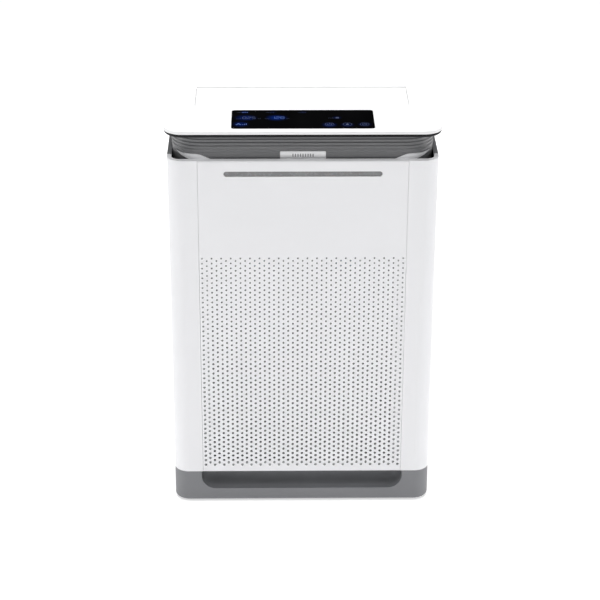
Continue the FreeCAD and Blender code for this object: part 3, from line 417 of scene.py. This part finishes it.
def tab_material():
    """Woven ribbon for the filter's pull tabs."""
    s = Shader("woven_ribbon")
    warp = s.waves(0.0008, "X")
    weft = s.waves(0.0008, "Z")
    s.join(s.blend(warp, (0.10, 0.28, 0.5), (0.16, 0.38, 0.62)), "Base Color")
    s.bump(weft, 0.00012, s.bump(warp, 0.00012))
    s.set(Roughness=0.8, Sheen_Weight=0.3)
    return s.material


def rubber_material(name, colour):
    s = Shader(name)
    pore = s.noise(0.0009, 4)
    s.join(s.blend(s.spread(pore, 0, 1), scaled(colour, 0.8), scaled(colour, 1.2)), "Base Color")
    s.bump(pore, 0.00006)
    s.set(Roughness=0.85, Specular_IOR_Level=0.3)
    return s.material


def glow_material(name, colour, strength):
    """A lit symbol: a diffused light, slightly uneven in brightness and in roughness."""
    s = Shader(name)
    uneven = s.spread(s.noise(0.004, 2), 0.75, 1.15)
    s.join(uneven, "Roughness")
    s.join(s.blend(uneven, scaled(colour, 0.7), colour), "Emission Color")
    s.set(Base_Color=(*scaled(colour, 0.1), 1), Emission_Strength=strength)
    return s.material


def make_finishes():
    white = (0.81, 0.812, 0.83)
    return {
        "white_shell": moulded("white_shell", white, 0.36, 0.02, drift=0.006),
        "white_lid": moulded("white_lid", (0.84, 0.84, 0.845), 0.34, 0.008, drift=0.004),
        "gray_base": moulded("gray_base", (0.19, 0.193, 0.204), 0.45, depth=0.00002),
        "gray_collar": moulded("gray_collar", (0.17, 0.172, 0.178), 0.3, 0.01, depth=0.00002, drift=0.015),
        # The tray's near-black colour is painted shade: it stands in for the shadow that the lid's overhang casts in
        # the band just under the lid.
        "dark_tray": moulded("dark_tray", (0.006, 0.006, 0.007), 0.5, 0.02, depth=0.00002,
                             Specular_IOR_Level=0.15),
        "gray_strip": moulded("gray_strip", (0.19, 0.192, 0.2), 0.42, depth=0.00002),
        "black_glass": glass_material(),
        "diffuser": diffuser_material(),
        "badge_plate": badge_material(),
        "inner_plastic": moulded("inner_plastic", (0.55, 0.56, 0.57), 0.5, depth=0.00003),
        "fan_plastic": moulded("fan_plastic", (0.06, 0.06, 0.065), 0.45, depth=0.00002),
        "filter_frame": moulded("filter_frame", (0.68, 0.69, 0.68), 0.6, depth=0.00003),
        "filter_net": net_material(),
        "hepa_paper": paper_material(),
        "carbon_pellets": carbon_material(),
        "pull_tab": tab_material(),
        "circuit_board": board_material(),
        "motor_metal": metal_material("motor_metal", (0.45, 0.46, 0.47), 0.4),
        "steel": metal_material("steel", (0.62, 0.62, 0.63), 0.3),
        "magnet_metal": metal_material("magnet_metal", (0.5, 0.5, 0.51), 0.25),
        "black_plastic": moulded("black_plastic", (0.02, 0.02, 0.022), 0.45, depth=0.00003),
        "foot_rubber": rubber_material("foot_rubber", (0.03, 0.03, 0.032)),
        "seal_foam": rubber_material("seal_foam", (0.018, 0.018, 0.019)),
        "bright_glow": glow_material("bright_glow", (0.07, 0.16, 0.52), 0.46),
        "dim_glow": glow_material("dim_glow", (0.10, 0.14, 0.28), 0.36),
    }


def finish_nodes():
    """Every CAD node takes the finish of its material slot."""
    for entry in frame["record"]["subparts"]:
        node = frame["nodes"][entry["node"]]
        node.material_slots[0].material = finishes[entry["material_slot"]]


def place_piece(piece, body, slot, nodes=(), finish=None):
    piece.data.materials.append(finish or finishes[slot])
    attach(piece, body)
    if nodes:
        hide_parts(*nodes)


# ---------------------------------------------------------------- pieces

def make_collar():
    """The outlet collar: full ribs under the lid and shallow ones below, from the CAD collar's box."""
    low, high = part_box("outlet_collar")
    reach = 1.3 * MM
    wall = 2.5 * MM
    corner = 42 * MM
    path = rounded_path(high[0] - reach, high[1] - reach, corner, 24, 24)
    first, pitch, ribs = 574 * MM, 5.1 * MM, 5
    shallow = int((first - low[2]) / pitch)
    # Shares: a lower rib's reach of a full one's, a trough's of its rib's reach, and a rib's swell of the pitch.
    shallow_share, trough_share, rounded_share = 0.35, 0.2, 0.62
    profile = [(-wall, low[2]), (0, low[2])]
    steps = 10
    for rib in range(-shallow, ribs):
        bottom = first + rib * pitch
        tall = pitch if rib < ribs - 1 else high[2] - bottom
        swell = reach if rib >= 0 else shallow_share * reach
        for step in range(steps):
            turn = step / steps
            crest = max(0.0, math.sin(math.pi * min(1.0, turn / rounded_share))) ** 0.55
            profile.append((swell * (trough_share + (1 - trough_share) * crest), bottom + turn * tall))
    profile += [(0, high[2]), (-wall, high[2])]
    collar = swept_ring("ribbed_collar", path, profile)
    place_piece(collar, "cabinet", "gray_collar", ["outlet_collar"])


def lay_flat(outlines, z, thick):
    """Points and faces of flat plates, each outline a list of (x, y), from z down to z - thick."""
    points = []
    faces = []
    for outline in outlines:
        first = len(points)
        count = len(outline)
        points += [(x, y, z) for x, y in outline] + [(x, y, z - thick) for x, y in outline]
        faces.append(tuple(range(first, first + count)))
        faces.append(tuple(range(first + 2 * count - 1, first + count - 1, -1)))
        for k in range(count):
            m = (k + 1) % count
            faces.append((first + m, first + k, first + count + k, first + count + m))
    return points, faces


def bar(x0, y0, x1, y1, wide):
    """The outline of a straight stroke from one point to another."""
    along = Vector((x1 - x0, y1 - y0)).normalized()
    side = Vector((-along.y, along.x)) * wide / 2
    corners = (Vector((x0, y0)) - side, Vector((x1, y1)) - side, Vector((x1, y1)) + side, Vector((x0, y0)) + side)
    return [tuple(c) for c in corners]


def disc(x, y, radius, steps=20):
    return [(x + radius * math.cos(2 * math.pi * k / steps), y + radius * math.sin(2 * math.pi * k / steps))
            for k in range(steps)]


def ring(x, y, radius, wide, start=0, sweep=360, steps=24):
    """An arc of a ring as short strokes' outlines."""
    strokes = []
    for k in range(steps):
        a = math.radians(start + sweep * k / steps)
        b = math.radians(start + sweep * (k + 1) / steps)
        inner, outer = radius - wide / 2, radius + wide / 2
        strokes.append([(x + r * math.cos(t), y + r * math.sin(t))
                        for r, t in ((inner, a), (outer, a), (outer, b), (inner, b))])
    return strokes


SEGMENTS = {0: "abcdef", 1: "bc", 2: "abged", 3: "abgcd", 4: "fgbc", 5: "afgcd", 6: "afgedc", 7: "abc", 8: "abcdefg",
            9: "abcdfg"}


def digit(value, x, y, tall, wide=0.9 * MM):
    """A seven-segment numeral whose lower left corner is at x, y."""
    w = tall * 0.55
    h = tall / 2
    gap = wide * 0.6
    lines = {"a": (gap, tall, w - gap, tall), "g": (gap, h, w - gap, h), "d": (gap, 0, w - gap, 0),
             "b": (w, h + gap, w, tall - gap), "c": (w, gap, w, h - gap),
             "f": (0, h + gap, 0, tall - gap), "e": (0, gap, 0, h - gap)}
    return [bar(x + a, y + b, x + c, y + d, wide) for a, b, c, d in (lines[s] for s in SEGMENTS[value])]


def power_symbol(x, y, size):
    return ring(x, y, size * 0.5, size * 0.12, 120, 300) + [bar(x, y + size * 0.1, x, y + size * 0.62, size * 0.12)]


def fan_symbol(x, y, size):
    blades = []
    for k in range(3):
        a = math.radians(90 + 120 * k)
        bx, by = x + size * 0.3 * math.cos(a), y + size * 0.3 * math.sin(a)
        blades.append(disc(bx, by, size * 0.19, 14))
    return blades + [disc(x, y, size * 0.09, 12)]


def clock_symbol(x, y, size):
    hands = [bar(x, y, x, y + size * 0.34, size * 0.09), bar(x, y, x + size * 0.24, y, size * 0.09)]
    return ring(x, y, size * 0.5, size * 0.1) + hands


def drop_symbol(x, y, size):
    outline = [(x, y + size * 0.6)]
    for k in range(15):
        a = math.radians(30 - 240 * k / 14)
        outline.append((x + size * 0.36 * math.cos(a), y + size * 0.36 * math.sin(a) - size * 0.08))
    return [outline]


def lock_symbol(x, y, size):
    body = bar(x - size * 0.34, y - size * 0.2, x + size * 0.34, y - size * 0.2, size * 0.5)
    return [body] + ring(x, y + size * 0.08, size * 0.24, size * 0.1, 0, 180, 12)


def caption_dashes(x, y, count, wide=1.6 * MM, tall=0.5 * MM):
    """A row of plain dashes where a caption would stand."""
    return [bar(x + k * wide * 1.5, y, x + k * wide * 1.5 + wide, y, tall) for k in range(count)]


def level_bars(x, y, count):
    """Bars that grow to the right, as on a level meter."""
    return [bar(x + 2.6 * k * MM, y, x + 2.6 * k * MM, y + (2.5 + 1.8 * k) * MM, 1.4 * MM) for k in range(count)]


def make_display():
    """The lit numerals, level bars and touch symbols on the glass; none of them is lettering."""
    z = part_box("display_glass")[1][2] + 0.02 * MM
    thick = 0.03 * MM
    bright = []
    dim = []
    for across, dashes in ((0.04, 3), (0.245, 5), (0.47, 5)):
        dim += caption_dashes(*display_place(across, 0.13), dashes)
    x, y = display_place(0.075, 0.13)
    for k in range(3):
        bright.append(bar(x + 3 * k * MM, y, x + (3 * k + 2) * MM, y + 0.5 * MM, 2 * MM))
    x, y = display_place(0.035, 0.47)
    dim += caption_dashes(x, y, 3)
    for k, value in enumerate((0, 2, 5)):
        dim += digit(value, x + (9 + 6.6 * k) * MM, y, 8.5 * MM)
    dim += caption_dashes(x + 31 * MM, y, 2)
    x, y = display_place(0.235, 0.47)
    dim += caption_dashes(x, y, 3)
    for k, value in enumerate((1, 2, 8)):
        bright += digit(value, x + (9 + 6.8 * k) * MM, y, 9 * MM, 1.1 * MM)
    dim += caption_dashes(x + 31 * MM, y, 2)
    x, y = display_place(0.065, 0.76)
    bright += fan_symbol(x - 3 * MM, y, 9 * MM)
    bright += level_bars(x + 3 * MM, y - 3 * MM, 3)
    x, y = display_place(0.68, 0.44)
    dim += caption_dashes(x, y, 4)
    dim += lock_symbol(x + 13 * MM, y + 2 * MM, 7 * MM)
    for across, symbol in ((0.685, power_symbol), (0.81, drop_symbol), (0.93, clock_symbol)):
        x, y = display_place(across, 0.77)
        dim += symbol(x, y, 6.5 * MM)
        dim += ring(x, y, 6.4 * MM, 0.45 * MM, 0, 360, 32)
    for name, outlines, finish in (("display_lit_symbols", bright, finishes["bright_glow"]),
                                   ("display_dim_symbols", dim, finishes["dim_glow"])):
        piece = mesh_object(name, *lay_flat(outlines, z, thick), smooth=False)
        place_piece(piece, "cabinet", "diffuser", finish=finish)


def woven_strand(start, along, count, pitch, lift, radius, first):
    """A net strand that passes over and under the strands it crosses, as a square tube."""
    points = []
    faces = []
    steps = 2 * count
    across = Vector((0, 0, 1)) if along.x else Vector((1, 0, 0))
    for k in range(steps + 1):
        turn = math.pi * k / 2 + (math.pi if first else 0)
        centre = start + along * (pitch * k / 2) + Vector((0, lift * math.sin(turn), 0))
        for a, b in ((-1, -1), (1, -1), (1, 1), (-1, 1)):
            points.append(centre + across * a * radius + Vector((0, b * radius, 0)))
    for k in range(steps):
        for e in range(4):
            f = (e + 1) % 4
            faces.append((4 * k + e, 4 * k + f, 4 * k + 4 + f, 4 * k + 4 + e))
    return points, faces


def join_up(parts):
    """One list of points and one of faces from several."""
    points = []
    faces = []
    for part_points, part_faces in parts:
        shift = len(points)
        points += part_points
        faces += [tuple(index + shift for index in face) for face in part_faces]
    return points, faces


def make_net():
    """The pre-filter's net: thick woven nylon strands in place of the plain plate."""
    low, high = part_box("prefilter_mesh")
    pitch = 3.5 * MM
    radius = 0.65 * MM
    lift = 0.3 * MM
    middle = (low[1] + high[1]) / 2
    columns = int((high[0] - low[0]) / pitch)
    rows = int((high[2] - low[2]) / pitch)
    left = (low[0] + high[0] - columns * pitch) / 2
    bottom = (low[2] + high[2] - rows * pitch) / 2
    strands = []
    for column in range(columns + 1):
        start = Vector((left + column * pitch, middle, low[2]))
        strands.append(woven_strand(start, Vector((0, 0, 1)), rows, pitch, lift, radius, column % 2))
    for row in range(rows + 1):
        start = Vector((low[0], middle, bottom + row * pitch))
        strands.append(woven_strand(start, Vector((1, 0, 0)), columns, pitch, lift, radius, row % 2 == 0))
    net = mesh_object("prefilter_net", *join_up(strands), smooth=False)
    place_piece(net, "prefilter", "filter_net", ["prefilter_mesh"])


def make_badge():
    """The plate on the collar: a bevelled frame, a sunk face and a plain row of upright bars."""
    low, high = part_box("name_badge")
    corners = []
    steps = 5
    radius = 1.4 * MM
    for turn, (sx, sz) in enumerate(((1, 1), (-1, 1), (-1, -1), (1, -1))):
        centre = ((low[0] + high[0]) / 2 + sx * ((high[0] - low[0]) / 2 - radius),
                  (low[2] + high[2]) / 2 + sz * ((high[2] - low[2]) / 2 - radius))
        for step in range(steps + 1):
            angle = math.pi / 2 * (turn + step / steps)
            corners.append((centre[0], centre[1], math.cos(angle), math.sin(angle)))
    levels = ((0, high[1]), (0, low[1] + 0.35 * MM), (0.3 * MM, low[1]), (1.0 * MM, low[1]),
              (1.15 * MM, low[1] + 0.3 * MM))
    points = [Vector((x + c * (radius - inset), y, z + d * (radius - inset)))
              for inset, y in levels for x, z, c, d in corners]
    count = len(corners)
    faces = [tuple(range(count - 1, -1, -1)), tuple(range((len(levels) - 1) * count, len(levels) * count))]
    for level in range(len(levels) - 1):
        for k in range(count):
            m = (k + 1) % count
            faces.append((level * count + k, level * count + m, (level + 1) * count + m, (level + 1) * count + k))
    plate = mesh_object("badge_frame", points, faces, smooth=False)
    place_piece(plate, "cabinet", "badge_plate", ["name_badge"])
    bars = []
    bar_count, spacing, wide, tall = 9, 3.6 * MM, 1.5 * MM, 4.6 * MM
    middle = (low[2] + high[2]) / 2
    for k in range(bar_count):
        x = (k - bar_count // 2) * spacing
        bars.append(bevelled_bar(x, middle, wide, tall, low[1] + 0.32 * MM, low[1] + 0.05 * MM))
    marks = mesh_object("badge_bars", *join_up(bars), smooth=False)
    place_piece(marks, "cabinet", "gray_strip")


def bevelled_bar(x, z, wide, tall, back, front):
    """One raised bar with a chamfered top face."""
    points = []
    for y, shrink in ((back, 0), (front, 0.15 * MM)):
        for a, b in ((-1, -1), (1, -1), (1, 1), (-1, 1)):
            points.append(Vector((x + a * (wide / 2 - shrink), y, z + b * (tall / 2 - shrink))))
    faces = [(3, 2, 1, 0), (4, 5, 6, 7)]
    faces += [(k, (k + 1) % 4, (k + 1) % 4 + 4, k + 4) for k in range(4)]
    return points, faces


def hexagon(x, z, radius, y):
    return [Vector((x + radius * math.cos(math.pi / 3 * k), y, z + radius * math.sin(math.pi / 3 * k)))
            for k in range(6)]


def make_carbon():
    """The carbon filter's core: a honeycomb grid with loose pellets in its cells."""
    low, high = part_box("carbon_core")
    cell = 5.2 * MM
    wall = 0.45 * MM
    pellets_in_cell = 4
    step_x = 1.5 * cell
    step_z = math.sqrt(3) * cell
    grid = []
    pellets = []
    dice = random.Random(7)
    columns = int((high[0] - low[0] - 2 * cell) / step_x)
    for column in range(columns + 1):
        x = (low[0] + high[0]) / 2 + (column - columns / 2) * step_x
        rows = int((high[2] - low[2] - 2 * cell) / step_z) - column % 2
        for row in range(rows + 1):
            z = (low[2] + high[2]) / 2 + (row - rows / 2) * step_z
            rings = [hexagon(x, z, cell, low[1]), hexagon(x, z, cell - wall, low[1]),
                     hexagon(x, z, cell - wall, high[1]), hexagon(x, z, cell, high[1])]
            points = [p for hexa in rings for p in hexa]
            faces = []
            for a in range(4):
                b = (a + 1) % 4
                for k in range(6):
                    m = (k + 1) % 6
                    faces.append((6 * a + k, 6 * b + k, 6 * b + m, 6 * a + m))
            grid.append((points, faces))
            for _ in range(pellets_in_cell):
                pellets.append(pellet(x, z, cell, low[1], high[1], dice))
    honeycomb = mesh_object("carbon_honeycomb", *join_up(grid), smooth=False)
    place_piece(honeycomb, "carbon", "filter_frame", ["carbon_core"])
    grains = mesh_object("carbon_grains", *join_up(pellets))
    place_piece(grains, "carbon", "carbon_pellets")


def pellet(x, z, cell, front, back, dice):
    """A short, tapered carbon rod that lies at a random angle inside one cell."""
    radius = 1.15 * MM
    length = dice.uniform(2.6, 4.4) * MM
    reach = cell * 0.45
    centre = Vector((x + dice.uniform(-reach, reach), dice.uniform(front + 1.6 * MM, back - 1.6 * MM),
                     z + dice.uniform(-reach, reach)))
    axis = Vector((dice.uniform(-1, 1), dice.uniform(-0.35, 0.35), dice.uniform(-1, 1))).normalized()
    side = axis.orthogonal().normalized()
    other = axis.cross(side)
    points = []
    for along, wide in ((-0.5, 0.55), (-0.42, 1), (0.42, 1), (0.5, 0.55)):
        for k in range(6):
            a = math.pi / 3 * k
            points.append(centre + axis * along * length
                          + (side * math.cos(a) + other * math.sin(a)) * radius * wide)
    faces = [tuple(range(5, -1, -1)), tuple(range(18, 24))]
    for a in range(3):
        for k in range(6):
            m = (k + 1) % 6
            faces.append((6 * a + k, 6 * a + m, 6 * a + 6 + m, 6 * a + 6 + k))
    return points, faces


make_camera()
make_world()
make_lights()
make_floor()
finishes = make_finishes()
finish_nodes()
make_collar()
make_display()
make_badge()
make_net()
make_carbon()
